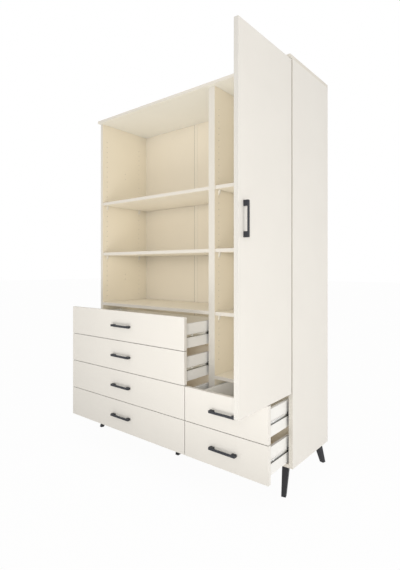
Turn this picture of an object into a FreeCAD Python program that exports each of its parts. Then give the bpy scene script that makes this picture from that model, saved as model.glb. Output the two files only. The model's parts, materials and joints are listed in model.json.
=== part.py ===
import FreeCAD, Part
import math
import os
import Sketcher

# Cabinet with an open left bay, a right bay behind a tall door, and six drawers below.
# Millimetres, +X to the right, +Y to the back, +Z up. The origin lies on the floor under the middle
# front foot. At rest the drawers are pulled out by drawer_pull and the door stands open at a right angle.

doc = FreeCAD.newDocument("Cabinet")
sheet = doc.addObject("Spreadsheet::Sheet", "Sizes")

# Driving sizes: name, value, meaning
driving_sizes = [
    ("side_board", 19, "thickness of the sides and the partition boards"),
    ("left_bay", 838, "clear width of the left bay"),
    ("right_bay", 400, "clear width of the right bay"),
    ("carcass_depth", 406, "depth of the sides"),
    ("side_height", 1810, "height of the sides"),
    ("top_board", 16, "thickness of the top"),
    ("bottom_board", 16, "thickness of the bottom"),
    ("shelf_board", 18, "thickness of shelves and fixed floors"),
    ("top_overhang", 24, "reach of the top in front of the sides"),
    ("back_board", 4, "thickness of the back"),
    ("back_inset", 4, "back's rear face in front of the sides' rear edges"),
    ("back_groove", 8, "depth of the groove for the back in the sides"),
    ("back_fit", 0.2, "room for the back in its groove"),
    ("strip_width", 26, "width of the back's joint strip"),
    ("strip_wall", 1.5, "thickness of the joint strip"),
    ("strip_groove", 3, "width of the shadow groove in the joint strip"),
    ("strip_groove_depth", 0.9, "depth of the shadow groove"),
    ("strip_groove_edge", 1.5, "shadow groove from the strip's left edge"),
    ("strip_place", 447, "middle of the joint strip from the left side's inner face"),
    ("shelf_setback", 3, "shelf's front edge behind the sides' front edges"),
    ("shelf_play", 0.5, "room at each end and at the back of a loose shelf"),
    ("pin_pitch", 32, "distance between shelf pin holes"),
    ("pin_radius", 2.5, "radius of a shelf pin hole"),
    ("pin_depth", 11, "depth of a shelf pin hole"),
    ("pin_fit", 0.1, "room around a pin in its hole"),
    ("pin_front", 37, "front pin row behind the sides' front edges"),
    ("pin_rear", 325, "rear pin row behind the sides' front edges"),
    ("pin_start", 40, "lowest pin hole above the left floor"),
    ("pin_margin", 90, "least distance from the highest pin hole to the top"),
    ("spare_depth", 195, "spare hole pairs behind the sides' front edges"),
    ("spare_low", 104, "lowest spare hole above the lowest left pin hole"),
    ("spare_rise", 676, "distance between the two spare hole pairs"),
    ("front_board", 19, "thickness of the drawer fronts"),
    ("front_gap", 3, "gap between a closed front or door and the sides"),
    ("front_reveal", 2, "fronts and door inside the outline of their bay"),
    ("front_height", 159, "height of a drawer front"),
    ("low_front_height", 161, "height of a lowest drawer front"),
    ("front_lift", 8, "lowest fronts above the underside of the bottom"),
    ("row_gap", 3, "gap between fronts, and between fronts and door"),
    ("floor_lap", 5, "front's top edge above the underside of the floor over it"),
    ("drawer_pull", 195, "how far the drawers are pulled out at rest"),
    ("box_height", 118, "height of the drawer sides"),
    ("box_rear_room", 51, "room between a closed drawer box and the back"),
    ("box_side", 12, "thickness of the drawer sides"),
    ("box_back", 12, "thickness of the drawer back"),
    ("box_lift", 3, "lowest drawer box above the bottom"),
    ("box_drift", 2, "step of the boxes is shorter than that of the fronts by this"),
    ("tray_board", 4, "thickness of a drawer bottom"),
    ("tray_groove", 6, "depth of the groove for a drawer bottom"),
    ("tray_lift", 10, "drawer bottom above the lower edge of the drawer sides"),
    ("tray_fit", 0.2, "room for a drawer bottom in its groove"),
    ("runner_gap", 10, "room between a drawer side and the wall"),
    ("runner_steel", 1.2, "thickness of the runner's steel"),
    ("track_height", 17, "height of a runner track"),
    ("track_room", 1.4, "room between a runner track's lips and the drawer side"),
    ("runner_play", 0.3, "running room between a drawer channel and its track"),
    ("channel_room", 3.4, "room between a drawer channel's lips and the wall"),
    ("channel_setback", 4, "drawer channel behind the drawer front"),
    ("cap_length", 10, "length of a runner end cap"),
    ("cap_setback", 1, "runner end cap behind the sides' front edges"),
    ("cap_room", 0.5, "room between an end cap and the drawer channel"),
    ("tongue_room", 4, "room between an end cap's middle tongue and the drawer side"),
    ("handle_length", 138, "length of a handle"),
    ("handle_foot", 22, "length of a handle's foot"),
    ("handle_reach", 21, "reach of a handle from its front"),
    ("handle_bar", 4, "thickness of a handle's bar"),
    ("handle_height", 11, "height of a handle's bar and feet"),
    ("handle_chamfer", 1.5, "chamfer on a handle's outer corners"),
    ("door_board", 19, "thickness of the door"),
    ("door_top_gap", 3, "gap between the door and the top"),
    ("door_handle_inset", 40, "middle of the door's handle from its free edge"),
    ("door_handle_height", 737, "middle of the door's handle above its lower edge"),
    ("hinge_edge", 8, "hinge pin from the door's hinge edge"),
    ("hinge_cover", 7, "hinge pin behind the door's outer face"),
    ("hinge_inset", 100, "outer hinges from the door's ends"),
    ("cup_rim", 5, "hinge pin inside the rim of the bore for its cup"),
    ("cup_radius", 17.5, "radius of the bore for a hinge cup"),
    ("cup_floor_room", 0.6, "room between the eye and the bore's floor, beside the cup's wall"),
    ("cup_fit", 0.1, "room around a hinge cup in its bore"),
    ("cup_wall", 0.9, "thickness of a hinge cup's wall"),
    ("cup_flange", 1.2, "thickness of a hinge cup's flange"),
    ("cup_flange_width", 22, "width of a hinge cup's flange"),
    ("cup_flange_height", 58, "height of a hinge cup's flange"),
    ("hinge_pin", 1.2, "radius of a hinge pin"),
    ("hinge_pin_fit", 0.05, "room around a hinge pin in its eye"),
    ("hinge_eye", 2.5, "outer radius of the eye around a hinge pin"),
    ("hinge_tongue", 8.4, "height of the arm's tongue between the ears"),
    ("hinge_ear", 2, "thickness of an ear that holds a hinge pin"),
    ("hinge_ear_room", 0.4, "room between the arm's tongue and an ear"),
    ("crank_room", 5, "room between the open door's inner face and the arm's middle"),
    ("hinge_steel", 2.5, "thickness of a hinge arm"),
    ("hinge_reach", 62, "arm's rear end behind the sides' front edges"),
    ("plate_length", 42, "length of a hinge's mounting plate"),
    ("plate_height", 20, "height of a hinge's mounting plate"),
    ("support_width", 10, "width of a shelf support"),
    ("support_reach", 10, "reach of a shelf support from the wall"),
    ("support_rise", 4, "shelf's underside above the middle of the support's pin"),
    ("support_lip", 4, "thickness of a shelf support at its tip"),
    ("support_drop", 25, "height of a shelf support at the wall"),
    ("support_pin", 8, "length of a shelf support's pin"),
    ("leg_height", 122, "height of the legs"),
    ("leg_foot", 20, "width of a leg at the floor"),
    ("leg_head", 30, "width of a leg under its plate"),
    ("leg_splay", 47, "foot's reach from the leg's head"),
    ("leg_turn", 14, "degrees that a corner leg is turned outwards"),
    ("leg_foot_side", 33, "middle of a corner foot from the cabinet's side"),
    ("leg_foot_front", 18, "middle of a corner foot in front of the front edges, or behind the rear ones"),
    ("middle_setback", 11, "middle feet inside the row of the corner feet"),
    ("leg_plate", 3, "thickness of a leg's plate"),
    ("leg_plate_width", 44, "width of a leg's plate"),
]


class Size:
    # A length together with its spreadsheet expression, so that sums of sizes stay bound to the sheet.
    def __init__(self, text, value):
        self.text = text
        self.value = value

    def joined(self, sign, other, swap=False):
        other = other if isinstance(other, Size) else Size(f"({other})", other)
        first, second = (other, self) if swap else (self, other)
        results = {
            "+": first.value + second.value,
            "-": first.value - second.value,
            "*": first.value * second.value,
        }
        return Size(f"({first.text} {sign} {second.text})", results[sign])

    def __add__(self, other):
        return self.joined("+", other)

    def __radd__(self, other):
        return self.joined("+", other, True)

    def __sub__(self, other):
        return self.joined("-", other)

    def __rsub__(self, other):
        return self.joined("-", other, True)

    def __mul__(self, other):
        return self.joined("*", other)

    def __rmul__(self, other):
        return self.joined("*", other, True)

    def __neg__(self):
        return self.joined("*", -1)

    def steps(self, pitch):
        # How many whole steps of the pitch fit in this length.
        return Size(f"floor({self.text} / {pitch.text})", math.floor(self.value / pitch.value))


class Sizes:
    pass


size = Sizes()
for row, (name, value, meaning) in enumerate(driving_sizes, start=1):
    sheet.set(f"A{row}", meaning)
    sheet.set(f"B{row}", str(value))
    sheet.setAlias(f"B{row}", name)
    setattr(size, name, Size(f"Sizes.{name}", value))
doc.recompute()

zero = Size("0", 0)
nodes = {}


# Shared helpers

def bind(thing, prop, length):
    thing.setExpression(prop, length.text)


def place(thing, x, y, z):
    bind(thing, "Placement.Base.x", x)
    bind(thing, "Placement.Base.y", y)
    bind(thing, "Placement.Base.z", z)


def node(thing, label):
    thing.Label = label
    nodes[label] = thing
    return thing


def block(name, x, y, z):
    # A box given by its lowest and highest corner along each axis.
    box = doc.addObject("Part::Box", name)
    bind(box, "Length", x[1] - x[0])
    bind(box, "Width", y[1] - y[0])
    bind(box, "Height", z[1] - z[0])
    place(box, x[0], y[0], z[0])
    return box


def rod(name, radius, length, x, y, z):
    # An upright cylinder.
    cylinder = doc.addObject("Part::Cylinder", name)
    bind(cylinder, "Radius", radius)
    bind(cylinder, "Height", length)
    place(cylinder, x, y, z)
    return cylinder


def cross_rod(name, radius, length, x, y, z):
    # A cylinder that runs along +X.
    cylinder = rod(name, radius, length, x, y, z)
    cylinder.Placement.Rotation = FreeCAD.Rotation(FreeCAD.Vector(0, 1, 0), 90)
    return cylinder


def cut(name, base, tool):
    result = doc.addObject("Part::Cut", name)
    result.Base = base
    result.Tool = tool
    return result


def fuse(name, pieces):
    result = doc.addObject("Part::MultiFuse", name)
    result.Shapes = pieces
    return result


def group(label, pieces):
    result = doc.addObject("Part::Compound", label)
    result.Links = pieces
    return node(result, label)


def origin_plane(body, role):
    return next(feature for feature in body.Origin.OriginFeatures if feature.Role == role)


def sketch_on(body, name, role, offset=None):
    sketch = body.newObject("Sketcher::SketchObject", name)
    sketch.AttachmentSupport = (origin_plane(body, role), [""])
    sketch.MapMode = "FlatFace"
    if offset is not None:
        bind(sketch, "AttachmentOffset.Base.z", offset)
    return sketch


def pinned(label, curve, point, x, y):
    # The two distances that tie one point of a sketch to the sketch's origin, by name.
    ties = {}
    for axis, distance in (("DistanceX", x), ("DistanceY", y)):
        ties[f"{label}_{axis}"] = (Sketcher.Constraint(axis, -1, 1, curve, point, distance.value), distance)
    return ties


def constrain(sketch, joints, ties):
    # Adds plain constraints, then named ones that are bound to their sizes.
    for name, (constraint, length) in ties.items():
        constraint.Name = name
    sketch.addConstraint(joints + [constraint for constraint, length in ties.values()])
    for name, (constraint, length) in ties.items():
        bind(sketch, f"Constraints.{name}", length)


def outline(body, name, role, points, offset=None):
    # A closed outline of straight edges through the points.
    sketch = sketch_on(body, name, role, offset)
    corners = [FreeCAD.Vector(x.value, y.value, 0) for x, y in points]
    count = len(corners)
    sketch.addGeometry([Part.LineSegment(corners[i], corners[(i + 1) % count]) for i in range(count)], False)
    joints = [Sketcher.Constraint("Coincident", i, 2, (i + 1) % count, 1) for i in range(count)]
    ties = {}
    for i, (x, y) in enumerate(points):
        ties.update(pinned(f"corner{i}", i, 1, x, y))
    constrain(sketch, joints, ties)
    return sketch


def rounds(body, name, role, centres, radius, offset=None):
    # Circles of one radius around the centres.
    sketch = sketch_on(body, name, role, offset)
    ties = {}
    for i, (x, y) in enumerate(centres):
        middle = FreeCAD.Vector(x.value, y.value, 0)
        sketch.addGeometry(Part.Circle(middle, FreeCAD.Vector(0, 0, 1), radius.value), False)
        ties.update(pinned(f"centre{i}", i, 3, x, y))
        ties[f"radius{i}"] = (Sketcher.Constraint("Radius", i, radius.value), radius)
    constrain(sketch, [], ties)
    return sketch


def pad(body, profile, length, both_ways=False):
    feature = body.newObject("PartDesign::Pad", profile.Name + "_pad")
    feature.Profile = profile
    bind(feature, "Length", length)
    feature.Midplane = both_ways
    profile.Visibility = False
    return feature


def pocket(body, profile, depth, along_normal):
    feature = body.newObject("PartDesign::Pocket", profile.Name + "_pocket")
    feature.Profile = profile
    bind(feature, "Length", depth)
    feature.Reversed = along_normal
    feature.Refine = False
    return feature


def repeat_up(body, feature, pitch, count):
    # Repeats a feature upwards.
    pattern = body.newObject("PartDesign::LinearPattern", feature.Name + "_row")
    pattern.Originals = [feature]
    pattern.Refine = False
    pattern.Direction = (origin_plane(body, "Z_Axis"), [""])
    bind(pattern, "Length", pitch * (count - 1))
    bind(pattern, "Occurrences", count)
    body.Tip = pattern


# Planes that the pieces share

half_width = 0.5 * (size.left_bay + size.right_bay) + 2 * size.side_board
left_wall = size.side_board - half_width
left_partition = left_wall + size.left_bay
partition_joint = left_partition + size.side_board
right_partition = partition_joint + size.side_board
right_wall = right_partition + size.right_bay

front_edge = size.leg_foot_front - size.middle_setback
rear_edge = front_edge + size.carcass_depth
back_face = rear_edge - size.back_inset - size.back_board
floor_rear = back_face - size.strip_wall
box_length = back_face - front_edge + size.front_gap - size.box_rear_room

bottom_top = size.leg_height + size.bottom_board
top_under = size.leg_height + size.side_height


def front_bottom(row):
    # Lower edge of the drawer fronts in a row, counted from the lowest.
    lowest = size.leg_height + size.front_lift
    if row == 0:
        return lowest
    return lowest + size.low_front_height + size.row_gap + (row - 1) * (size.front_height + size.row_gap)


def front_top(row):
    return front_bottom(row) + (size.low_front_height if row == 0 else size.front_height)


def runner_middle(row):
    lowest = bottom_top + size.box_lift + 0.5 * size.box_height
    return lowest + row * (size.front_height + size.row_gap - size.box_drift)


left_rows = 4
right_rows = 2
left_floor = front_top(left_rows - 1) - size.floor_lap
right_floor = front_top(right_rows - 1) - size.floor_lap
pin_base = left_floor + size.shelf_board + size.pin_start
pins_below = 9
right_pin_base = pin_base - pins_below * size.pin_pitch
left_pin_count = (top_under - size.pin_margin - pin_base).steps(size.pin_pitch) + 1
right_pin_count = left_pin_count + pins_below


def shelf_under(hole):
    # Underside of a shelf whose supports sit in a hole, counted from the lowest left hole.
    return pin_base + hole * size.pin_pitch + size.support_rise


# Sides and partition boards with their pin holes

def wall(label, x, low, points, hole_face, first_hole, hole_count):
    body = doc.addObject("PartDesign::Body", label)
    place(body, x, front_edge, low)
    pad(body, outline(body, label + "_outline", "XY_Plane", points), top_under - low)
    into_right = hole_face is zero
    rows = [(size.pin_front, first_hole - low), (size.pin_rear, first_hole - low)]
    holes = rounds(body, label + "_holes", "YZ_Plane", rows, size.pin_radius, hole_face)
    drilled = pocket(body, holes, size.pin_depth, into_right)
    repeat_up(body, drilled, size.pin_pitch, hole_count)
    spare_base = pin_base + size.spare_low - low
    heights = [spare_base, spare_base + size.pin_pitch]
    heights += [height + size.spare_rise for height in heights]
    spots = [(size.spare_depth, height) for height in heights]
    spares = rounds(body, label + "_spares", "YZ_Plane", spots, size.pin_radius, hole_face)
    pocket(body, spares, size.pin_depth, into_right)
    return node(body, label)


def side_outline(inner, outer, bottom):
    # A side's plan with the groove for the back in its inner face.
    groove_front = back_face - front_edge - 0.5 * size.back_fit
    groove_rear = groove_front + size.back_board + size.back_fit
    return [
        (outer, zero), (inner, zero), (inner, groove_front), (bottom, groove_front),
        (bottom, groove_rear), (inner, groove_rear), (inner, size.carcass_depth), (outer, size.carcass_depth),
    ]


board = size.side_board
partition_depth = back_face - front_edge
partition_plan = [(zero, zero), (board, zero), (board, partition_depth), (zero, partition_depth)]
wall("left_side", -half_width, size.leg_height, side_outline(board, zero, board - size.back_groove),
     board, pin_base, left_pin_count)
wall("left_partition", left_partition, bottom_top, partition_plan, zero, pin_base, left_pin_count)
wall("right_partition", partition_joint, bottom_top, partition_plan, board, right_pin_base, right_pin_count)
wall("right_side", right_wall, size.leg_height, side_outline(zero, board, size.back_groove),
     zero, right_pin_base, right_pin_count)

# Top, bottom and fixed floors

top = block("top_box", (-half_width, half_width), (front_edge - size.top_overhang, rear_edge),
            (top_under, top_under + size.top_board))
node(top, "top")
bottom = block("bottom_box", (left_wall, right_wall), (front_edge, floor_rear), (size.leg_height, bottom_top))
node(bottom, "bottom")
left_floor_box = block("left_floor_box", (left_wall, left_partition), (front_edge, floor_rear),
                       (left_floor, left_floor + size.shelf_board))
node(left_floor_box, "left_floor")
right_floor_box = block("right_floor_box", (right_partition, right_wall), (front_edge, floor_rear),
                        (right_floor, right_floor + size.shelf_board))
node(right_floor_box, "right_floor")

# Back boards and the strip that joins two of them

strip_middle = left_wall + size.strip_place
strip_side = 0.5 * size.strip_wall
back_depth = (back_face, back_face + size.back_board)
back_rise = (size.leg_height, top_under)
groove_floor = size.back_groove - 0.5 * size.back_fit
back_spans = {
    "back_left": (left_wall - groove_floor, strip_middle - strip_side),
    "back_middle": (strip_middle + strip_side, partition_joint),
    "back_right": (partition_joint, right_wall + groove_floor),
}
group("back_boards", [block(name, span, back_depth, back_rise) for name, span in back_spans.items()])

strip = doc.addObject("PartDesign::Body", "back_strip")
place(strip, strip_middle, back_face, bottom_top)
wing = 0.5 * size.strip_width
rear_face = size.back_board
groove_sides = (size.strip_groove_edge - wing, size.strip_groove_edge + size.strip_groove - wing)
groove_base = size.strip_groove_depth - size.strip_wall
strip_plan = [
    (-wing, -size.strip_wall),
    (groove_sides[0], -size.strip_wall), (groove_sides[0], groove_base),
    (groove_sides[1], groove_base), (groove_sides[1], -size.strip_wall),
    (wing, -size.strip_wall), (wing, zero), (strip_side, zero),
    (strip_side, rear_face), (wing, rear_face), (wing, rear_face + size.strip_wall),
    (-wing, rear_face + size.strip_wall), (-wing, rear_face), (-strip_side, rear_face),
    (-strip_side, zero), (-wing, zero),
]
pad(strip, outline(strip, "strip_plan", "XY_Plane", strip_plan), top_under - bottom_top)
node(strip, "back_strip")

# Loose shelves and their supports

shelf_depth = (front_edge + size.shelf_setback, floor_rear - size.shelf_play)
left_span = (left_wall, left_partition)
right_span = (right_partition, right_wall)
hole_number = {"low": -2, "middle": 8, "high": 18}
shelves = [
    ("left_shelf_1", left_span, hole_number["middle"]),
    ("left_shelf_2", left_span, hole_number["high"]),
    ("right_shelf_1", right_span, hole_number["low"]),
    ("right_shelf_2", right_span, hole_number["middle"]),
    ("right_shelf_3", right_span, hole_number["high"]),
]


def support(name, x, y, hole, turned):
    # A wedge under the shelf with a pin in the wall. The turned one sits on a right-hand wall.
    body = doc.addObject("PartDesign::Body", name)
    place(body, x, y, pin_base + hole * size.pin_pitch)
    if turned:
        body.Placement.Rotation = FreeCAD.Rotation(FreeCAD.Vector(0, 0, 1), 180)
    low = size.support_rise - size.support_drop
    profile = [
        (zero, low), (size.support_lip, low), (size.support_reach, size.support_rise - size.support_lip),
        (size.support_reach, size.support_rise), (zero, size.support_rise),
    ]
    pad(body, outline(body, name + "_profile", "XZ_Plane", profile), size.support_width, True)
    shank = rounds(body, name + "_shank", "YZ_Plane", [(zero, zero)], size.pin_radius - size.pin_fit)
    pin = pad(body, shank, size.support_pin)
    pin.Reversed = True
    return body


supports = []
for shelf_name, span, hole in shelves:
    under = shelf_under(hole)
    shelf = block(shelf_name + "_box", (span[0] + size.shelf_play, span[1] - size.shelf_play), shelf_depth,
                  (under, under + size.shelf_board))
    node(shelf, shelf_name)
    for end, turned in ((0, False), (1, True)):
        for corner, row in (("front", size.pin_front), ("rear", size.pin_rear)):
            name = f"{shelf_name}_support_{corner}_{end}"
            supports.append(support(name, span[end], front_edge + row, hole, turned))
group("shelf_supports", supports)

# Handles: a flat bar on two square feet

def handle(label, x, y, z, rotation):
    body = doc.addObject("PartDesign::Body", label)
    place(body, x, y, z)
    body.Placement.Rotation = rotation
    end = 0.5 * size.handle_length
    inner = end - size.handle_foot
    under = size.handle_reach - size.handle_bar
    slope = size.handle_chamfer
    plan = [
        (-end, zero), (-inner, zero), (-inner, under), (inner, under), (inner, zero), (end, zero),
        (end, size.handle_reach - slope), (end - slope, size.handle_reach),
        (slope - end, size.handle_reach), (-end, size.handle_reach - slope),
    ]
    pad(body, outline(body, label + "_plan", "XY_Plane", plan), size.handle_height, True)
    return node(body, label)


facing_front = FreeCAD.Rotation(FreeCAD.Vector(0, 0, 1), 180)

# Drawers with their runners

front_inner = front_edge - size.front_gap - size.drawer_pull
channel_half = 0.5 * size.track_height - size.runner_steel - size.runner_play
channel_length = box_length - size.channel_setback
channel_reach = size.runner_gap - size.channel_room
track_length = box_length - size.cap_length
track_reach = size.runner_gap - size.track_room
tracks = []
caps = []


def along_runner(name, points, x, y, z, length, turned):
    # A length of runner profile, drawn seen from the front. The turned one sits on a right-hand wall.
    body = doc.addObject("PartDesign::Body", name)
    place(body, x, y, z)
    if turned:
        body.Placement.Rotation = FreeCAD.Rotation(FreeCAD.Vector(0, 1, 0), 180)
    run = pad(body, outline(body, name + "_profile", "XZ_Plane", points), length)
    run.Reversed = True
    return body


def trough(reach, half_height):
    # A channel's profile with its web at the origin and its lips pointing along +X.
    steel = size.runner_steel
    inside = half_height - steel
    return [
        (zero, -half_height), (reach, -half_height), (reach, -inside), (steel, -inside),
        (steel, inside), (reach, inside), (reach, half_height), (zero, half_height),
    ]


def cap_profile():
    # An end cap: a spine on the wall, and three tongues around the lips of the drawer channel.
    tall = 0.5 * size.track_height
    spine = size.channel_room - size.cap_room
    inside = channel_half - size.runner_steel - size.cap_room
    outside = channel_half + size.runner_play
    tongue = size.runner_gap - size.tongue_room
    return [
        (zero, -tall), (track_reach, -tall), (track_reach, -outside), (spine, -outside), (spine, -inside),
        (tongue, -inside), (tongue, inside), (spine, inside), (spine, outside), (track_reach, outside),
        (track_reach, tall), (zero, tall),
    ]


def drawer(name, row, bay, front_span):
    low, high = front_bottom(row), front_top(row)
    middle = runner_middle(row)
    box_low, box_high = middle - 0.5 * size.box_height, middle + 0.5 * size.box_height
    outer = (bay[0] + size.runner_gap, bay[1] - size.runner_gap)
    inner = (outer[0] + size.box_side, outer[1] - size.box_side)
    box_rear = front_inner + box_length
    tray = (box_low + size.tray_lift, box_low + size.tray_lift + size.tray_board)
    slot = (tray[0] - 0.5 * size.tray_fit, tray[1] + 0.5 * size.tray_fit)
    tray_span = (inner[0] - size.tray_groove, inner[1] + size.tray_groove)
    slot_span = (tray_span[0] - 0.5 * size.tray_fit, tray_span[1] + 0.5 * size.tray_fit)
    slot_start = front_inner - size.tray_groove - 0.5 * size.tray_fit

    face = block(name + "_face", front_span, (front_inner - size.front_board, front_inner), (low, high))
    groove = block(name + "_groove", slot_span, (slot_start, front_inner), slot)
    node(cut(name + "_front_cut", face, groove), name + "_front")

    length = (front_inner, box_rear)
    slots = block(name + "_slots", slot_span, length, slot)
    boards = []
    for hand, span in (("left", (outer[0], inner[0])), ("right", (inner[1], outer[1]))):
        side = block(f"{name}_{hand}_board", span, length, (box_low, box_high))
        boards.append(cut(f"{name}_{hand}_side", side, slots))
    group(name + "_sides", boards)

    rear = block(name + "_rear_board", inner, (box_rear - size.box_back, box_rear), (tray[1], box_high))
    node(rear, name + "_back")
    tray_board = block(name + "_tray", tray_span, (front_inner - size.tray_groove, box_rear), tray)
    node(tray_board, name + "_bottom")

    knob_x = 0.5 * (front_span[0] + front_span[1])
    handle(name + "_handle", knob_x, front_inner - size.front_board, 0.5 * (low + high), facing_front)

    channel = trough(channel_reach, channel_half)
    track = trough(track_reach, 0.5 * size.track_height)
    channel_start = front_inner + size.channel_setback
    cap_start = front_edge + size.cap_setback
    track_start = cap_start + size.cap_length
    channels = []
    for end, hand, turned in ((0, "left", False), (1, "right", True)):
        key = f"{name}_{hand}"
        channels.append(along_runner(key + "_channel", channel, outer[end], channel_start, middle,
                                     channel_length, not turned))
        tracks.append(along_runner(key + "_track", track, bay[end], track_start, middle,
                                   track_length, turned))
        caps.append(along_runner(key + "_cap", cap_profile(), bay[end], cap_start, middle,
                                 size.cap_length, turned))
    group(name + "_runners", channels)


left_fronts = (size.front_reveal - half_width, partition_joint - size.front_reveal)
right_fronts = (partition_joint + size.front_reveal, half_width - size.front_reveal)
for number in range(1, left_rows + 1):
    drawer(f"left_drawer_{number}", left_rows - number, left_span, left_fronts)
for number in range(1, right_rows + 1):
    drawer(f"right_drawer_{number}", right_rows - number, right_span, right_fronts)
group("runner_tracks", tracks)
group("runner_caps", caps)

# Door, open at a right angle, on three concealed hinges

hinge_depth = size.door_board - size.hinge_cover
cup_depth = hinge_depth + size.hinge_eye + size.cup_floor_room + size.cup_wall
cup_setback = size.hinge_edge + size.cup_radius - size.cup_rim
pin_x = half_width - size.front_reveal - size.hinge_edge
pin_y = front_edge - size.front_gap - hinge_depth
door_inner = pin_x - hinge_depth
door_edge = pin_y + size.hinge_edge
door_width = right_fronts[1] - right_fronts[0]
door_low = front_top(right_rows - 1) + size.row_gap
door_high = top_under - size.door_top_gap
shelf_top = shelf_under(hole_number["middle"]) + size.shelf_board
middle_hinge = 0.5 * (shelf_top + shelf_under(hole_number["high"]))
hinge_heights = [door_low + size.hinge_inset, middle_hinge, door_high - size.hinge_inset]

door = doc.addObject("PartDesign::Body", "door")
place(door, door_inner, door_edge, door_low)
door_plan = [(zero, zero), (zero, -door_width), (size.door_board, -door_width), (size.door_board, zero)]
pad(door, outline(door, "door_plan", "XY_Plane", door_plan), door_high - door_low)
cup_spots = [(-cup_setback, height - door_low) for height in hinge_heights]
cup_bores = rounds(door, "cup_bores", "YZ_Plane", cup_spots, size.cup_radius)
pocket(door, cup_bores, cup_depth, True)
node(door, "door")

upright = FreeCAD.Rotation(FreeCAD.Vector(0, 0, 1), FreeCAD.Vector(1, 0, 0), FreeCAD.Vector(0, 1, 0), "XYZ")
handle("door_handle", door_inner + size.door_board, door_edge - door_width + size.door_handle_inset,
       door_low + size.door_handle_height, upright)


def hinge_cup(name, z):
    # A cup in its bore, with a flange on the door, and two ears that hold the pin.
    middle_y = door_edge - cup_setback
    floor_x = door_inner + cup_depth - size.cup_fit
    outer = size.cup_radius - size.cup_fit
    shell = cross_rod(name + "_shell", outer, cup_depth - size.cup_fit, door_inner, middle_y, z)
    flange = block(name + "_flange", (door_inner - size.cup_flange, door_inner),
                   (middle_y - 0.5 * size.cup_flange_width, middle_y + 0.5 * size.cup_flange_width),
                   (z - 0.5 * size.cup_flange_height, z + 0.5 * size.cup_flange_height))
    inner = outer - size.cup_wall
    deep = cup_depth - size.cup_fit - size.cup_wall + size.cup_flange
    hollow = cross_rod(name + "_hollow", inner, deep, door_inner - size.cup_flange, middle_y, z)
    open_cup = cut(name + "_open", fuse(name + "_solid", [shell, flange]), hollow)
    reach = 0.5 * size.hinge_tongue + size.hinge_ear_room
    ears = []
    for side, low in (("upper", z + reach), ("lower", z - reach - size.hinge_ear)):
        ears.append(block(f"{name}_{side}_ear", (pin_x - size.hinge_eye, floor_x),
                          (pin_y - size.hinge_eye, pin_y + size.hinge_eye), (low, low + size.hinge_ear)))
    pin = rod(name + "_pin", size.hinge_pin, 2 * (reach + size.hinge_ear), pin_x, pin_y,
              z - reach - size.hinge_ear)
    return fuse(name, [open_cup, pin] + ears)


def hinge_arm(name, z):
    # A cranked arm from the eye around the pin to a plate on the right side.
    half_tongue = 0.5 * size.hinge_tongue
    rise = (z - half_tongue, z + half_tongue)
    thick = 0.5 * size.hinge_steel
    crank_x = door_inner - size.crank_room
    arm_rear = front_edge + size.hinge_reach
    tongue = block(name + "_tongue", (crank_x - thick, pin_x), (pin_y - thick, pin_y + thick), rise)
    straight = block(name + "_straight", (crank_x - thick, crank_x + thick), (pin_y - thick, arm_rear), rise)
    plate = block(name + "_plate", (crank_x + thick, right_wall), (arm_rear - size.plate_length, arm_rear),
                  (z - 0.5 * size.plate_height, z + 0.5 * size.plate_height))
    eye = rod(name + "_eye", size.hinge_eye, size.hinge_tongue, pin_x, pin_y, rise[0])
    bore = rod(name + "_bore", size.hinge_pin + size.hinge_pin_fit, size.hinge_tongue, pin_x, pin_y, rise[0])
    return cut(name, fuse(name + "_solid", [tongue, straight, plate, eye]), bore)


group("hinge_cups", [hinge_cup(f"hinge_cup_{i}", z) for i, z in enumerate(hinge_heights)])
group("hinge_arms", [hinge_arm(f"hinge_arm_{i}", z) for i, z in enumerate(hinge_heights)])

# Legs: a tapered, splayed post welded to its plate

lean_cos = Size(f"cos({size.leg_turn.text} * 1 deg)", math.cos(math.radians(size.leg_turn.value)))
lean_sin = Size(f"sin({size.leg_turn.text} * 1 deg)", math.sin(math.radians(size.leg_turn.value)))
straight_in = Size("1", 1)


def square(body, name, width, reach, lean, offset):
    # A square with its middle at the reach from the foot, in the direction of the lean, and turned with it.
    corners = []
    for end, hand in ((-0.5, -0.5), (0.5, -0.5), (0.5, 0.5), (-0.5, 0.5)):
        ahead = reach + end * width
        aside = hand * width
        corners.append((lean[0] * ahead + lean[1] * aside, lean[1] * ahead - lean[0] * aside))
    return outline(body, name, "XY_Plane", corners, offset)


def leg(name, foot_x, foot_y, lean):
    # The lean points from the foot to the head.
    body = doc.addObject("PartDesign::Body", name)
    place(body, foot_x, foot_y, zero)
    under_plate = size.leg_height - size.leg_plate
    foot = square(body, name + "_foot", size.leg_foot, zero, lean, None)
    head = square(body, name + "_head", size.leg_head, size.leg_splay, lean, under_plate)
    post = body.newObject("PartDesign::AdditiveLoft", name + "_post")
    post.Profile = foot
    post.Sections = [head]
    post.Ruled = True
    plate = square(body, name + "_plate", size.leg_plate_width, size.leg_splay, lean, under_plate)
    pad(body, plate, size.leg_plate)
    return body


legs = []
corner_x = half_width - size.leg_foot_side
front_feet = front_edge - size.leg_foot_front
rear_feet = rear_edge + size.leg_foot_front
leg_rows = [
    ("front", front_feet, front_feet + size.middle_setback, 1),
    ("rear", rear_feet, rear_feet - size.middle_setback, -1),
]
for edge, corner_y, middle_y, inward in leg_rows:
    legs.append(leg(f"{edge}_left_leg", -corner_x, corner_y, (lean_sin, inward * lean_cos)))
    legs.append(leg(f"{edge}_middle_leg", zero, middle_y, (zero, inward * straight_in)))
    legs.append(leg(f"{edge}_right_leg", corner_x, corner_y, (-lean_sin, inward * lean_cos)))
group("legs", legs)

# Build, test and write every piece

doc.recompute()
for thing in doc.Objects:
    if "Invalid" in thing.State or "Error" in thing.State:
        raise RuntimeError(f"{thing.Label} failed: {thing.State}")
for label, thing in nodes.items():
    if thing.Shape.isNull() or not thing.Shape.isValid():
        raise RuntimeError(f"{label} has no valid shape")

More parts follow.
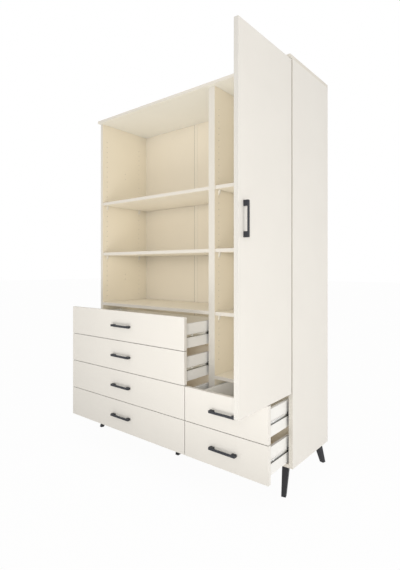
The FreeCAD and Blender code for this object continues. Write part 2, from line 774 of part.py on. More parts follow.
os.makedirs("parts", exist_ok=True)
for label, thing in nodes.items():
    thing.Shape.exportStep(f"parts/{label}.step")
    print(f"{label}: {len(thing.Shape.Solids)} solids, {thing.Shape.Volume / 1000:.1f} cm3")
print(f"{len(nodes)} nodes")
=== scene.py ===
import json
import math

import bmesh
import bpy
from mathutils import Matrix, Vector

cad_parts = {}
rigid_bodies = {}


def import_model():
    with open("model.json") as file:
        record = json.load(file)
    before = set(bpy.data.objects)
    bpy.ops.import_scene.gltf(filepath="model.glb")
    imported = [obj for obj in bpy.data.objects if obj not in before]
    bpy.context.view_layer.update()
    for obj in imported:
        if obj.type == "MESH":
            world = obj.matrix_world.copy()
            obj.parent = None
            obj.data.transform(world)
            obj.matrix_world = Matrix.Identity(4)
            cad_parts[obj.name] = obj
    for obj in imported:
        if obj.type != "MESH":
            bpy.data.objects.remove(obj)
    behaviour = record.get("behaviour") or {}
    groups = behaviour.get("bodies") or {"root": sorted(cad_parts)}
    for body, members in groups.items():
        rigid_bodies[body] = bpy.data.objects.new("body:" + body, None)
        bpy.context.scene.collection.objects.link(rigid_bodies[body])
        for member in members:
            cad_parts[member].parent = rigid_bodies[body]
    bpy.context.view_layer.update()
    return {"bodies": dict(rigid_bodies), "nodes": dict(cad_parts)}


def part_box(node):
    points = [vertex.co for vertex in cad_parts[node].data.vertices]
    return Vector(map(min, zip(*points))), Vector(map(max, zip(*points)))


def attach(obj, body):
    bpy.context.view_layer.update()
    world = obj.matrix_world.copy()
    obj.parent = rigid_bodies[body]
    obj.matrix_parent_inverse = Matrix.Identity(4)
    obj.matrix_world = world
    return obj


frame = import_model()
nodes = frame["nodes"]
drawers = sorted(name for name in frame["bodies"] if "drawer" in name)
mm = 0.001
white = (1.0, 1.0, 1.0)
print("frame:", len(nodes), "pieces,", len(drawers), "drawers")


# Shader wires that can be added and multiplied

class Wire:
    def __init__(self, tree, socket=None):
        self.tree = tree
        self.socket = socket

    def add(self, kind, settings=None, sockets=None, out=0):
        made = self.tree.nodes.new(kind)
        for name, value in (settings or {}).items():
            setattr(made, name, value)
        for name, value in (sockets or {}).items():
            self.plug(value, made.inputs[name])
        return Wire(self.tree, made.outputs[out])

    def plug(self, value, target):
        if isinstance(value, Wire):
            self.tree.links.new(value.socket, target)
        else:
            target.default_value = value

    def maths(self, operation, first, second=0.0):
        return self.add("ShaderNodeMath", {"operation": operation}, {0: first, 1: second})

    def __add__(self, other):
        return self.maths("ADD", self, other)

    def __radd__(self, other):
        return self.maths("ADD", other, self)

    def __sub__(self, other):
        return self.maths("SUBTRACT", self, other)

    def __rsub__(self, other):
        return self.maths("SUBTRACT", other, self)

    def __mul__(self, other):
        return self.maths("MULTIPLY", self, other)

    def __rmul__(self, other):
        return self.maths("MULTIPLY", other, self)

    def above(self, level):
        return self.maths("GREATER_THAN", self, level)

    def larger(self, other):
        return self.maths("MAXIMUM", self, other)

    def unsigned(self):
        return self.maths("ABSOLUTE", self)

    def wrapped(self, pitch):
        return self.maths("FLOORED_MODULO", self, pitch)

    def between(self, low, high):
        # 0 at low, 1 at high, straight in between
        return self.add("ShaderNodeMapRange", {}, {"Value": self, "From Min": low, "From Max": high})


def startFinish(name, **constants):
    material = bpy.data.materials.new(name)
    material.use_nodes = True
    sockets = material.node_tree.nodes["Principled BSDF"].inputs
    for socket, value in constants.items():
        sockets[socket].default_value = value
    return material, Wire(material.node_tree), sockets


def cover(wire, sockets, shade, rough, normal):
    wire.plug(shade, sockets["Base Color"])
    wire.plug(rough, sockets["Roughness"])
    wire.plug(normal, sockets["Normal"])


def spot(wire, stretch=(1, 1, 1)):
    # where a point lies on the piece, in metres, stretched where a grain runs one way
    point = wire.add("ShaderNodeTexCoord", out="Object")
    return wire.add("ShaderNodeMapping", {}, {"Vector": point, "Scale": stretch})


def axes(wire, vector):
    parts = wire.add("ShaderNodeSeparateXYZ", {}, {"Vector": vector}).socket.node.outputs
    return {axis: Wire(wire.tree, parts[axis]) for axis in "XYZ"}


leastLook = 0.5  # from this share on, a face counts as looking along an axis


def facing(wire):
    # the direction that a face looks in
    return axes(wire, wire.add("ShaderNodeTexCoord", out="Normal"))


def cloud(wire, point, perMetre, detail=2.0, rough=0.5):
    sockets = {"Vector": point, "Scale": perMetre, "Detail": detail, "Roughness": rough}
    return wire.add("ShaderNodeTexNoise", {}, sockets)


waveRadians = 20  # how far a wave texture's bands turn over one unit


def ribs(wire, point, pitch, direction):
    settings = {"wave_type": "BANDS", "bands_direction": direction}
    sockets = {"Vector": point, "Scale": math.tau / (waveRadians * pitch)}
    return wire.add("ShaderNodeTexWave", settings, sockets, out=1)


mixColour = {"first": 6, "second": 7, "result": 2}  # a Mix node's sockets for colours


def blend(wire, amount, low, high, mode="MIX"):
    low, high = ((*shade, 1) if isinstance(shade, tuple) else shade for shade in (low, high))
    settings = {"data_type": "RGBA", "blend_type": mode}
    sockets = {"Factor": amount, mixColour["first"]: low, mixColour["second"]: high}
    return wire.add("ShaderNodeMix", settings, sockets, mixColour["result"])


def relief(wire, height, depth, strength):
    return wire.add("ShaderNodeBump", {}, {"Height": height, "Strength": strength, "Distance": depth})


def shaded(colour, amount):
    return tuple(part * amount for part in colour)


def middleOf(name):
    lo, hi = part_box(name)
    return 0.5 * (lo + hi)


# Finishes

melamine = {
    "cream": (0.80, 0.765, 0.705),
    "front": (0.74, 0.706, 0.648),
    # tone of the carcass's inner faces: warmer than the cream, painted warm bounce light
    "paintedInsideWarmth": (0.905, 0.81, 0.635),
    # shelves and floors: lighter than the inner faces, painted light from below
    "shelf": (0.95, 0.87, 0.72),
    "paintedUndersideLight": (0.95, 0.915, 0.82),  # underside of the top, lighter than the inner faces: painted light from below
    "band": (0.735, 0.688, 0.608),  # edge band
    "uprightBandPaintedShade": (0.71, 0.67, 0.597),  # on the sides and partitions, a darker copy of the band: painted shade
    # on the door, a much darker copy of the band: painted shade on the door's edges
    "doorBandPaintedShade": (0.60, 0.577, 0.532),
    "mottle": 0.96,
    "mottlePerMetre": 6,
    "pearlPerMetre": 1400,
    "chip": (0.56, 0.43, 0.28),
    "darkChip": (0.25, 0.16, 0.085),
    "chipsPerMetre": 350,
    "chipRange": (0.38, 0.62),  # from the dark chips to the light ones
    "chipHeight": 4,  # against the pearl's
    "bareLook": 0.6,  # how squarely a bare edge looks its way
    "rough": 0.36,
    "mottleRough": 0.14,
    "chipRough": 0.4,
    "relief": (0.05 * mm, 0.5),  # depth and strength
    "ior": 1.45,
}


def melamineBoard(name, wide, tone, outside=None, bareWays=(), band="band"):
    # wide: the axis its wide faces look along, outside: beyond which level it has the outer tone, and
    # within it the given tone, which on the side, level and top boards is painted light on the inner and
    # under faces, bareWays: where edges without a band look
    material, wire, sockets = startFinish(name, IOR=melamine["ior"])
    point = spot(wire)
    look = facing(wire)
    pearl = cloud(wire, point, melamine["pearlPerMetre"], detail=3)
    mottle = cloud(wire, point, melamine["mottlePerMetre"], detail=5)
    shade = melamine[tone]
    if outside:
        axis, level = outside
        beyond = axes(wire, point)[axis].unsigned().above(level)
        shade = blend(wire, beyond, shade, melamine["cream"])
    onEdge = 1 - look[wide].unsigned().above(leastLook)
    shade = blend(wire, onEdge, shade, melamine[band])
    tint = blend(wire, mottle, white, shaded(white, melamine["mottle"]))
    shade = blend(wire, 1.0, shade, tint, "MULTIPLY")
    rough = melamine["rough"] + melamine["mottleRough"] * mottle
    height = pearl
    if bareWays:
        chips = cloud(wire, point, melamine["chipsPerMetre"], detail=6, rough=0.75)
        raw = blend(wire, chips.between(*melamine["chipRange"]), melamine["darkChip"], melamine["chip"])
        bare, *others = [(sign * look[axis]).above(melamine["bareLook"]) for sign, axis in bareWays]
        for other in others:
            bare = bare.larger(other)
        shade = blend(wire, bare, shade, raw)
        rough = rough + melamine["chipRough"] * bare
        height = pearl + melamine["chipHeight"] * bare * chips
    cover(wire, sockets, shade, rough, relief(wire, height, *melamine["relief"]))
    return material


foil = {
    "white": (0.885, 0.866, 0.825),
    # drawer backs: a warm copy of the white, painted warm shade inside the drawers
    "cream": (0.86, 0.785, 0.64),
    "thread": 0.94,
    "pitch": 1.7 * mm,
    "hazePerMetre": 60,
    "rough": 0.42,
    "hazeRough": 0.2,
    "relief": (0.05 * mm, 0.6),
    "ior": 1.45,
}


def drawerFoil(name, tone):
    material, wire, sockets = startFinish(name, IOR=foil["ior"])
    point = spot(wire)
    weave = ribs(wire, point, foil["pitch"], "Y") * ribs(wire, point, foil["pitch"], "Z")
    haze = cloud(wire, point, foil["hazePerMetre"], detail=4)
    shade = blend(wire, weave * haze, foil[tone], shaded(foil[tone], foil["thread"]))
    rough = foil["rough"] + foil["hazeRough"] * haze
    cover(wire, sockets, shade, rough, relief(wire, weave, *foil["relief"]))
    return material


hardboard = {
    "lacquer": (0.835, 0.75, 0.605),
    "mottle": 0.97,
    "mottlePerMetre": 9,
    "brown": (0.40, 0.27, 0.155),
    "lightBrown": (0.52, 0.37, 0.23),
    "fibresPerMetre": 500,
    "fibreStretch": (1, 0.35, 1),
    "fibreHeight": 0.25,  # against the screen marks'
    "fibreShare": 0.7,  # of the brown, the screen marks have the rest
    "screen": 1.9 * mm,
    "rough": 0.85,
    "lacquerGloss": 0.4,
    "mottleRough": 0.1,
    "relief": (0.18 * mm, 0.6),
    "ior": 1.45,
}


def thinBoard(name, sign, axis, screenWays):
    # lacquered where it looks along the signed axis, elsewhere bare with the marks of a screen
    material, wire, sockets = startFinish(name, IOR=hardboard["ior"])
    point = spot(wire)
    front = (sign * facing(wire)[axis]).above(leastLook)
    grain = spot(wire, hardboard["fibreStretch"])
    fibres = cloud(wire, grain, hardboard["fibresPerMetre"], detail=6, rough=0.7)
    across, along = (ribs(wire, point, hardboard["screen"], way) for way in screenWays)
    screen = across * along
    mottle = cloud(wire, point, hardboard["mottlePerMetre"], detail=3)
    lacquer = blend(wire, mottle, hardboard["lacquer"], shaded(hardboard["lacquer"], hardboard["mottle"]))
    share = hardboard["fibreShare"]
    browned = share * fibres + (1 - share) * screen
    bare = blend(wire, browned, hardboard["brown"], hardboard["lightBrown"])
    shade = blend(wire, front, bare, lacquer)
    rough = hardboard["rough"] - hardboard["lacquerGloss"] * front + hardboard["mottleRough"] * mottle
    marks = screen * (1 - front) + hardboard["fibreHeight"] * fibres
    cover(wire, sockets, shade, rough, relief(wire, marks, *hardboard["relief"]))
    return material


plastic = {
    "cream": {"colour": (0.84, 0.785, 0.68), "rough": 0.38, "grainPerMetre": 900, "shine": 0.5},
    "black": {"colour": (0.004, 0.004, 0.005), "rough": 0.6, "grainPerMetre": 1200, "shine": 0.15},
    "haze": 0.9,
    "hazePerMetre": 40,
    "hazeRough": 0.12,
    "relief": (0.04 * mm, 0.5),
    "ior": 1.49,
}


def mouldedPlastic(name, colour, rough, grainPerMetre, shine):
    material, wire, sockets = startFinish(name, **{"IOR": plastic["ior"], "Specular IOR Level": shine})
    point = spot(wire)
    grain = cloud(wire, point, grainPerMetre, detail=3)
    haze = cloud(wire, point, plastic["hazePerMetre"], detail=2)
    shade = blend(wire, haze, colour, shaded(colour, plastic["haze"]))
    rough = rough + plastic["hazeRough"] * haze
    cover(wire, sockets, shade, rough, relief(wire, grain, *plastic["relief"]))
    return material


strip = {
    "face": (0.84, 0.762, 0.625),
    # painted shadow in the groove along the left edge
    "grooveShadow": (0.48, 0.43, 0.34),
    "grooveShadowFrom": 1.5 * mm,  # from the left edge
    "grooveShadowTo": 4.5 * mm,
    "line": 0.95,
    "linesPerMetre": 700,
    "lineStretch": (1, 1, 0.02),
    "rough": 0.4,
    "lineRough": 0.15,
    "relief": (0.03 * mm, 0.5),
}


def stripFinish():
    # a pale extrusion with painted shadow in the groove along its left edge
    material, wire, sockets = startFinish("strip_plastic", IOR=plastic["ior"])
    fromLeft = axes(wire, spot(wire))["X"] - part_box("back_strip")[0].x
    # painted shadow on the front faces within the groove
    grooveShadow = fromLeft.above(strip["grooveShadowFrom"]) * (1 - fromLeft.above(strip["grooveShadowTo"]))
    grooveShadow = grooveShadow * (-1 * facing(wire)["Y"]).above(leastLook)
    lines = cloud(wire, spot(wire, strip["lineStretch"]), strip["linesPerMetre"], detail=3)
    face = blend(wire, lines, strip["face"], shaded(strip["face"], strip["line"]))
    shade = blend(wire, grooveShadow, face, strip["grooveShadow"])
    rough = strip["rough"] + strip["lineRough"] * lines
    cover(wire, sockets, shade, rough, relief(wire, lines, *strip["relief"]))
    return material


powder = {
    "handle": (0.021, 0.0225, 0.028),
    "leg": (0.010, 0.0105, 0.013),
    "speck": 1.6,
    "peelPerMetre": 1100,
    "cloudsPerMetre": 90,
    "rough": 0.42,
    "cloudRough": 0.16,
    "relief": (0.06 * mm, 0.6),
    "ior": 1.5,
    "shine": 0.35,
}


def powderCoat(name, part):
    constants = {"IOR": powder["ior"], "Specular IOR Level": powder["shine"]}
    material, wire, sockets = startFinish(name, **constants)
    point = spot(wire)
    peel = cloud(wire, point, powder["peelPerMetre"], detail=3, rough=0.6)
    cloudy = cloud(wire, point, powder["cloudsPerMetre"], detail=3)
    shade = blend(wire, peel * cloudy, powder[part], shaded(powder[part], powder["speck"]))
    rough = powder["rough"] + powder["cloudRough"] * cloudy
    cover(wire, sockets, shade, rough, relief(wire, peel, *powder["relief"]))
    return material


plating = {
    "zinc": {"light": (0.72, 0.72, 0.70), "dark": (0.55, 0.55, 0.54), "rough": 0.26, "metallic": 1.0},
    # screw heads: near white and barely metallic, a painted glint
    "screw": {"light": (0.95, 0.95, 0.93), "dark": (0.86, 0.86, 0.84), "rough": 0.3, "metallic": 0.3},
    "nickel": {"light": (0.70, 0.69, 0.66), "dark": (0.58, 0.57, 0.54), "rough": 0.2, "metallic": 1.0},
    "streakRough": 0.12,
    "bloomRough": 0.08,
    "bloomPerMetre": 55,
    "streakShare": 0.6,  # the bloom has the rest
    "relief": (0.015 * mm, 0.5),
}


def streakedMetal(wire, streaks, bloom, dark, light):
    share = plating["streakShare"]
    return blend(wire, share * streaks + (1 - share) * bloom, dark, light)


def platedSteel(name, stretch, streaksPerMetre, light, dark, rough, metallic):
    # the streaks run along the axis with the smallest stretch
    material, wire, sockets = startFinish(name, Metallic=metallic)
    streaks = cloud(wire, spot(wire, stretch), streaksPerMetre, detail=4, rough=0.65)
    bloom = cloud(wire, spot(wire), plating["bloomPerMetre"], detail=3)
    shade = streakedMetal(wire, streaks, bloom, dark, light)
    rough = rough + plating["streakRough"] * streaks + plating["bloomRough"] * bloom
    cover(wire, sockets, shade, rough, relief(wire, streaks, *plating["relief"]))
    return material


runner = {
    "bright": (0.93, 0.93, 0.915),
    "dull": (0.74, 0.74, 0.725),
    # painted shade on the upper side of the lower lip
    "lipShadow": (0.20, 0.19, 0.165),
    "streakStretch": (1, 0.03, 1),
    "streaksPerMetre": 1500,
    "rough": 0.28,
    "lipShadowRough": 0.25,
}


def runnerSteel():
    # zinc, with painted shade on the upper side of the lower lip
    material, wire, sockets = startFinish("runner_zinc", Metallic=1.0)
    point = spot(wire)
    along = spot(wire, runner["streakStretch"])
    streaks = cloud(wire, along, runner["streaksPerMetre"], detail=4, rough=0.65)
    bloom = cloud(wire, point, plating["bloomPerMetre"], detail=3)
    lowest, second = (middleOf(f"left_drawer_{row}_runners").z for row in (4, 3))
    pitch = second - lowest
    climb = (axes(wire, point)["Z"] - (lowest - 0.5 * pitch)).wrapped(pitch)
    # painted shade: upward faces below each runner's middle
    lipShadow = facing(wire)["Z"].above(leastLook) * (1 - climb.above(0.5 * pitch))
    zinc = streakedMetal(wire, streaks, bloom, runner["dull"], runner["bright"])
    shade = blend(wire, lipShadow, zinc, runner["lipShadow"])
    rough = runner["rough"] + plating["streakRough"] * streaks + runner["lipShadowRough"] * lipShadow
    cover(wire, sockets, shade, rough, relief(wire, streaks, *plating["relief"]))
    return material


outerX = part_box("right_side")[1].x - 1 * mm
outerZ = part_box("top")[0].z + 1 * mm
rear = (1, "Y")
sideWays = [rear, (1, "Z"), (-1, "Z")]
# the sides' inner faces take the painted warm bounce light, their outer faces the cream
sideBoard = melamineBoard("side_board", "X", "paintedInsideWarmth", ("X", outerX), sideWays, "uprightBandPaintedShade")
# shelves and floors in the lighter tone, painted light from below
levelBoard = melamineBoard("level_board", "Z", "shelf", bareWays=[rear])
# the top's underside is lighter than the inner faces: painted light from below
topBoard = melamineBoard("top_board", "Z", "paintedUndersideLight", ("Z", outerZ), [rear])
frontBoard = melamineBoard("front_board", "Y", "front", band="cream")
doorBoard = melamineBoard("door_board", "X", "cream", band="doorBandPaintedShade")
sideFoil = drawerFoil("side_foil", "white")
# the drawer backs' warm tone is painted warm shade
backFoilPaintedShade = drawerFoil("back_foil_painted_shade", "cream")
backBoard = thinBoard("back_board", -1, "Y", "XZ")
trayBoard = thinBoard("tray_board", 1, "Z", "XY")
creamPlastic = mouldedPlastic("cream_plastic", **plastic["cream"])
stripPlastic = stripFinish()
blackPlastic = mouldedPlastic("black_plastic", **plastic["black"])
handleCoat = powderCoat("handle_powder_coat", "handle")
legCoat = powderCoat("leg_powder_coat", "leg")
runnerZinc = runnerSteel()
zincSteel = platedSteel("zinc_steel", (1, 0.03, 1), 1500, **plating["zinc"])
# near-white screw heads, a painted glint
screwPaintedGlint = platedSteel("screw_painted_glint", (1, 1, 1), 900, **plating["screw"])
nickelSteel = platedSteel("nickel_steel", (0.2, 0.2, 1), 900, **plating["nickel"])
print("finishes:", len(bpy.data.materials))

# Carried pieces: a finish and eased edges each

easing = {
    "board": 0.7 * mm,
    "thin": 0.4 * mm,
    "metal": 0.9 * mm,
    "sheetSteel": 0.3 * mm,
    "plastic": 0.5 * mm,
    "segments": 3,
    "angle": math.radians(35),
    "weld": 0.001 * mm,
}


def dress(name, finish, kind):
    piece = nodes[name]
    piece.data.materials.clear()
    piece.data.materials.append(finish)
    weld = piece.modifiers.new("weld", "WELD")
    weld.merge_threshold = easing["weld"]
    ease = piece.modifiers.new("ease", "BEVEL")
    ease.width = easing[kind]
    ease.segments = easing["segments"]
    ease.limit_method = "ANGLE"
    ease.angle_limit = easing["angle"]
    ease.use_clamp_overlap = True


for name in ("left_side", "right_side", "left_partition", "right_partition"):
    dress(name, sideBoard, "board")
for name in ("bottom", "left_floor", "right_floor", *(name for name in nodes if "_shelf_" in name)):
    dress(name, levelBoard, "board")
dress("top", topBoard, "board")
dress("door", doorBoard, "board")
dress("door_handle", handleCoat, "metal")
dress("legs", legCoat, "metal")
dress("back_boards", backBoard, "thin")
dress("back_strip", stripPlastic, "thin")
dress("shelf_supports", creamPlastic, "plastic")
dress("runner_tracks", runnerZinc, "sheetSteel")
dress("runner_caps", blackPlastic, "plastic")
dress("hinge_cups", nickelSteel, "sheetSteel")
dress("hinge_arms", nickelSteel, "sheetSteel")
for name in drawers:
    dress(name + "_front", frontBoard, "board")
    dress(name + "_sides", sideFoil, "board")
    dress(name + "_back", backFoilPaintedShade, "board")
    dress(name + "_bottom", trayBoard, "thin")
    dress(name + "_handle", handleCoat, "metal")
    dress(name + "_runners", runnerZinc, "sheetSteel")
print("dressed:", len(nodes), "carried pieces")

# Screws and nails

screw = {
    "sides": 16,
    "dome": ((0.30, 1.0), (0.70, 0.88), (1.0, 0.62)),  # shares of the head's height and radius
    "recess": 0.55,
    "recessDepth": 0.55,
}


def standOn(place, way):
    turn = Vector((0, 0, 1)).rotation_difference(Vector(way)).to_matrix().to_4x4()
    return Matrix.Translation(place) @ turn


def pushFaces(bm, faces, lift, scale):
    # extrudes faces along Z, narrowed, and gives the new faces and their corners
    grown = bmesh.ops.extrude_face_region(bm, geom=faces)["geom"]
    corners = [item for item in grown if isinstance(item, bmesh.types.BMVert)]
    bmesh.ops.translate(bm, verts=corners, vec=(0, 0, lift))
    bmesh.ops.scale(bm, verts=corners, vec=(scale, scale, 1))
    return [item for item in grown if isinstance(item, bmesh.types.BMFace)], corners


def addScrew(bm, place, way, radius, height):
    # a pan head with a cross recess, standing on place and looking along way
    ring = bmesh.ops.create_circle(bm, cap_ends=True, segments=screw["sides"], radius=radius)["verts"]
    verts = set(ring)
    cap = list(ring[0].link_faces)
    low, wide = 0.0, 1.0
    for high, narrow in screw["dome"]:
        under = cap
        cap, corners = pushFaces(bm, under, height * (high - low), narrow / wide)
        verts.update(corners)
        if low:  # only the first face stays, as the underside
            bmesh.ops.delete(bm, geom=under, context="FACES_ONLY")
        low, wide = high, narrow
    wedges = bmesh.ops.poke(bm, faces=cap)
    verts.update(wedges["verts"])
    # two wedges in every four are sunk
    arms = [face for index, face in enumerate(wedges["faces"]) if index % 4 in (0, 3)]
    corners = pushFaces(bm, arms, -height * screw["recessDepth"], screw["recess"])[1]
    verts.update(corners)
    bmesh.ops.delete(bm, geom=arms, context="FACES_ONLY")
    bmesh.ops.transform(bm, matrix=standOn(place, way), verts=list(verts))


def finishPiece(bm, name, finish, body):
    bmesh.ops.recalc_face_normals(bm, faces=bm.faces)
    mesh = bpy.data.meshes.new(name)
    bm.to_mesh(mesh)
    bm.free()
    mesh.materials.append(finish)
    piece = bpy.data.objects.new(name, mesh)
    bpy.context.scene.collection.objects.link(piece)
    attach(piece, body)


axisIndex = {"X": 0, "Y": 1, "Z": 2}


def partPoints(points, axis, gap):
    # points in groups, parted wherever they leave a gap along the axis
    groups = [[]]
    for point in sorted(points, key=lambda point: point[axis]):
        if groups[-1] and point[axis] - groups[-1][-1][axis] > gap:
            groups.append([])
        groups[-1].append(point)
    return groups


def boxOf(points):
    lo = Vector(min(point[axis] for point in points) for axis in range(3))
    hi = Vector(max(point[axis] for point in points) for axis in range(3))
    return lo, hi


fixings = {
    "channelSteel": 1.2 * mm,
    "runnerSpots": (74 * mm, 234 * mm, 330 * mm),  # behind the front's inner face
    "runnerHead": (4.2 * mm, 2.2 * mm),  # radius and height
    "handleFoot": 22 * mm,
    "handleHead": (4.2 * mm, 2.4 * mm),
}


def drawerScrews(name):
    sides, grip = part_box(name + "_sides"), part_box(name + "_handle")
    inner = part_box(name + "_front")[1].y
    level = middleOf(name + "_runners").z
    bm = bmesh.new()
    for x, way in ((sides[0].x - fixings["channelSteel"], -1), (sides[1].x + fixings["channelSteel"], 1)):
        for back in fixings["runnerSpots"]:
            addScrew(bm, (x, inner + back, level), (way, 0, 0), *fixings["runnerHead"])
    finishPiece(bm, name + "_runner_screws", screwPaintedGlint, name)
    bm = bmesh.new()
    for x in (grip[0].x + 0.5 * fixings["handleFoot"], grip[1].x - 0.5 * fixings["handleFoot"]):
        addScrew(bm, (x, inner, middleOf(name + "_handle").z), (0, 1, 0), *fixings["handleHead"])
    finishPiece(bm, name + "_handle_screws", nickelSteel, name)


for name in drawers:
    drawerScrews(name)

hinge = {
    "flangeSpot": 23.3 * mm,  # above and below the cup's middle
    "flangeHead": (3.4 * mm, 1.2 * mm),
    "plateSpots": (10 * mm, 32 * mm),  # in front of the arm's rear end
    "plateRise": 7.1 * mm,
    "plateHead": (2.6 * mm, 1.2 * mm),
    "armSpots": (14 * mm, 27 * mm),
    "armHead": (3.0 * mm, 1.0 * mm),
    "armSteel": 2.5 * mm,
    "apart": 100 * mm,
}


def hingeBoxes(name):
    # the box of each of the hinges in a node
    points = [vertex.co.copy() for vertex in nodes[name].data.vertices]
    return [boxOf(group) for group in partPoints(points, axisIndex["Z"], hinge["apart"])]


def doorScrews():
    inward = (-1, 0, 0)
    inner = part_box("door")[0].x
    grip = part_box("door_handle")
    bm = bmesh.new()
    for z in (grip[0].z + 0.5 * fixings["handleFoot"], grip[1].z - 0.5 * fixings["handleFoot"]):
        addScrew(bm, (inner, middleOf("door_handle").y, z), inward, *fixings["handleHead"])
    finishPiece(bm, "door_handle_screws", nickelSteel, "door")
    bm = bmesh.new()
    for lo, hi in hingeBoxes("hinge_cups"):
        middle = 0.5 * (lo + hi)
        for rise in (-hinge["flangeSpot"], hinge["flangeSpot"]):
            addScrew(bm, (lo.x, middle.y, middle.z + rise), inward, *hinge["flangeHead"])
    finishPiece(bm, "hinge_cup_screws", nickelSteel, "door")
    bm = bmesh.new()
    for lo, hi in hingeBoxes("hinge_arms"):
        level = 0.5 * (lo.z + hi.z)
        for back in hinge["armSpots"]:
            addScrew(bm, (lo.x, hi.y - back, level), inward, *hinge["armHead"])
        for back in hinge["plateSpots"]:
            for rise in (-hinge["plateRise"], hinge["plateRise"]):
                seat = (lo.x + hinge["armSteel"], hi.y - back, level + rise)
                addScrew(bm, seat, inward, *hinge["plateHead"])
    finishPiece(bm, "hinge_plate_screws", nickelSteel, "carcass")


doorScrews()

plate = {
    "thick": 3 * mm,
    "reach": 0.82,  # from the middle to the corners
    "head": (3.0 * mm, 1.8 * mm),
    "apart": 200 * mm,
    "flat": 0.1 * mm,
}


def legScrews():
    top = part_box("legs")[1].z
    points = (vertex.co.copy() for vertex in nodes["legs"].data.vertices)
    corners = [point for point in points if point.z > top - plate["flat"]]
    bm = bmesh.new()
    for row in partPoints(corners, axisIndex["X"], plate["apart"]):
        for group in partPoints(row, axisIndex["Y"], plate["apart"]):
            lo, hi = boxOf(group)
            middle = 0.5 * (lo + hi)
            seats = (middle.lerp(point, plate["reach"]) for point in group)
            for x, y, z in sorted({tuple(round(value, 5) for value in seat) for seat in seats}):
                addScrew(bm, (x, y, top - plate["thick"]), (0, 0, -1), *plate["head"])
    finishPiece(bm, "leg_screws", nickelSteel, "carcass")


legScrews()

nail = {
    "head": (2.3 * mm, 0.7 * mm),
    "sides": 8,
    "taper": 0.7,
    "pitch": 120 * mm,
    "margin": 45 * mm,
    "joint": 9 * mm,  # to each side of the joint of the partition
    "clear": 22 * mm,  # around the strip and the joint
}


def addNail(bm, place, way, radius, height):
    made = bmesh.ops.create_cone(bm, cap_ends=True, segments=nail["sides"], radius1=radius,
                                 radius2=nail["taper"] * radius, depth=height)
    lift = Matrix.Translation((0, 0, 0.5 * height))
    bmesh.ops.transform(bm, matrix=standOn(place, way) @ lift, verts=made["verts"])


def spread(low, high):
    low, high = low + nail["margin"], high - nail["margin"]
    count = round((high - low) / nail["pitch"])
    return [low + (high - low) * index / count for index in range(count + 1)]


def backNails():
    lo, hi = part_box("back_boards")
    stripX = middleOf("back_strip").x
    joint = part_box("right_partition")[0].x
    seats = []
    for board in ("bottom", "left_floor", "right_floor"):
        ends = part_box(board)
        for x in spread(ends[0].x, ends[1].x):
            if min(abs(x - stripX), abs(x - joint)) > nail["clear"]:
                seats.append((x, middleOf(board).z))
    for side in (-nail["joint"], nail["joint"]):
        seats += [(joint + side, z) for z in spread(lo.z, hi.z)]
    bm = bmesh.new()
    for x, z in seats:
        addNail(bm, (x, hi.y, z), (0, 1, 0), *nail["head"])
    finishPiece(bm, "back_nails", zincSteel, "carcass")


backNails()
print("fixings: done")

# Floor, light and camera

studio = {
    "floorSize": 60.0,
    "floorShade": (0.90, 0.895, 0.885),
    "floorGrain": 0.99,
    "grainPerMetre": 3,
    "floorRough": 0.9,
    "floorGlow": 0.96,
    "skyShade": (1.0, 0.995, 0.985),
    "skyLight": 0.64,
    "bounces": 2,  # then plain ambient light, which a surface nearer than the reach holds off
    "reach": 0.16,
}


def whiteForEye(wire):
    # 1 for what is seen directly, in a reflection or through glass
    kinds = ("Camera", "Glossy", "Transmission")
    direct, mirrored, through = (wire.add("ShaderNodeLightPath", out=f"Is {kind} Ray") for kind in kinds)
    return direct.larger(mirrored).larger(through)


def makeFloor():
    bm = bmesh.new()
    bmesh.ops.create_grid(bm, x_segments=1, y_segments=1, size=0.5 * studio["floorSize"])
    mesh = bpy.data.meshes.new("studio_floor")
    bm.to_mesh(mesh)
    bm.free()
    floor = bpy.data.objects.new("studio_floor", mesh)
    bpy.context.scene.collection.objects.link(floor)
    material, wire, sockets = startFinish("studio_floor", Roughness=studio["floorRough"])
    grain = cloud(wire, spot(wire), studio["grainPerMetre"])
    shade = blend(wire, grain, studio["floorShade"], shaded(studio["floorShade"], studio["floorGrain"]))
    wire.plug(shade, sockets["Base Color"])
    glow = wire.add("ShaderNodeEmission", {}, {"Color": (*white, 1), "Strength": 1.0})
    tree = material.node_tree
    lit = Wire(tree, tree.nodes["Principled BSDF"].outputs[0])
    share = whiteForEye(wire) * studio["floorGlow"]
    mixed = wire.add("ShaderNodeMixShader", {}, {"Fac": share, 1: lit, 2: glow})
    wire.plug(mixed, tree.nodes["Material Output"].inputs["Surface"])
    mesh.materials.append(material)


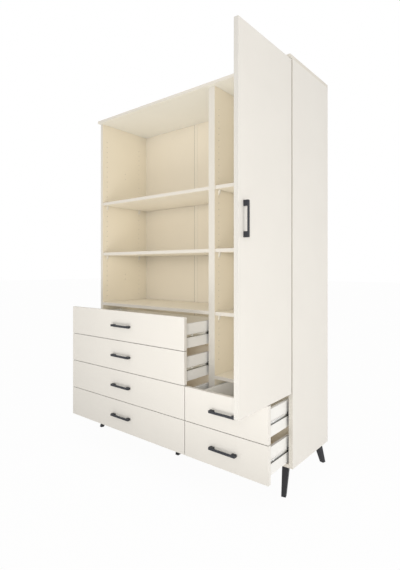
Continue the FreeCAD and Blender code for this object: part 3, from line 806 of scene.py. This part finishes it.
def makeSky():
    world = bpy.data.worlds.new("studio_sky")
    bpy.context.scene.world = world
    world.use_nodes = True
    wire = Wire(world.node_tree)
    seen = whiteForEye(wire)
    backdrop = world.node_tree.nodes["Background"].inputs
    wire.plug(blend(wire, seen, studio["skyShade"], white), backdrop["Color"])
    wire.plug(studio["skyLight"] + (1.0 - studio["skyLight"]) * seen, backdrop["Strength"])


softboxes = {
    "key": {"place": (2.66, -3.93, 1.4), "aim": (0.1, 0, 0.8), "size": 0.8, "watts": 50},
    "highKey": {"place": (2.4, -3.7, 1.95), "aim": (0.1, 0, 0.8), "size": 0.8, "watts": 18},
    "floorBounce": {"place": (0.4, -1.7, 0.02), "aim": (0.4, -1.7, 2), "size": 1.4, "watts": 22},
    "low": {"place": (3.4, 0.1, 0.25), "aim": (0.6, 0.2, 0.3), "size": 1.4, "watts": 26},
}


def makeSoftbox(name, place, aim, size, watts):
    lamp = bpy.data.lights.new(name, "AREA")
    lamp.size = size
    lamp.energy = watts
    box = bpy.data.objects.new(name, lamp)
    box.location = place
    box.rotation_euler = (Vector(aim) - Vector(place)).to_track_quat("-Z", "Y").to_euler()
    box.visible_camera = False
    bpy.context.scene.collection.objects.link(box)


photo = {
    "width": 400,
    "height": 570,
    "focalPixels": 423.22,
    "axisPixel": (171.24, 267.6),  # where the lens axis meets the picture
    "eye": (1.4812, -1.7503, 1.012),
    "turn": math.radians(41.14),
    "sensor": 36,
}


def makeCamera():
    lens = bpy.data.cameras.new("photo_camera")
    lens.sensor_width = photo["sensor"]
    lens.lens = photo["sensor"] * photo["focalPixels"] / photo["height"]
    lens.shift_x = (0.5 * photo["width"] - photo["axisPixel"][0]) / photo["height"]
    lens.shift_y = (photo["axisPixel"][1] - 0.5 * photo["height"]) / photo["height"]
    camera = bpy.data.objects.new("photo_camera", lens)
    camera.location = photo["eye"]
    camera.rotation_euler = (math.radians(90), 0, photo["turn"])
    bpy.context.scene.collection.objects.link(camera)
    bpy.context.scene.camera = camera


makeFloor()
makeSky()
for name, box in softboxes.items():
    makeSoftbox(name, **box)
makeCamera()
bpy.context.scene.view_settings.view_transform = "Standard"
cycles = bpy.context.scene.cycles
cycles.use_fast_gi = True
cycles.fast_gi_method = "REPLACE"
cycles.ao_bounces_render = studio["bounces"]
bpy.context.scene.world.light_settings.distance = studio["reach"]
print("studio: ready")
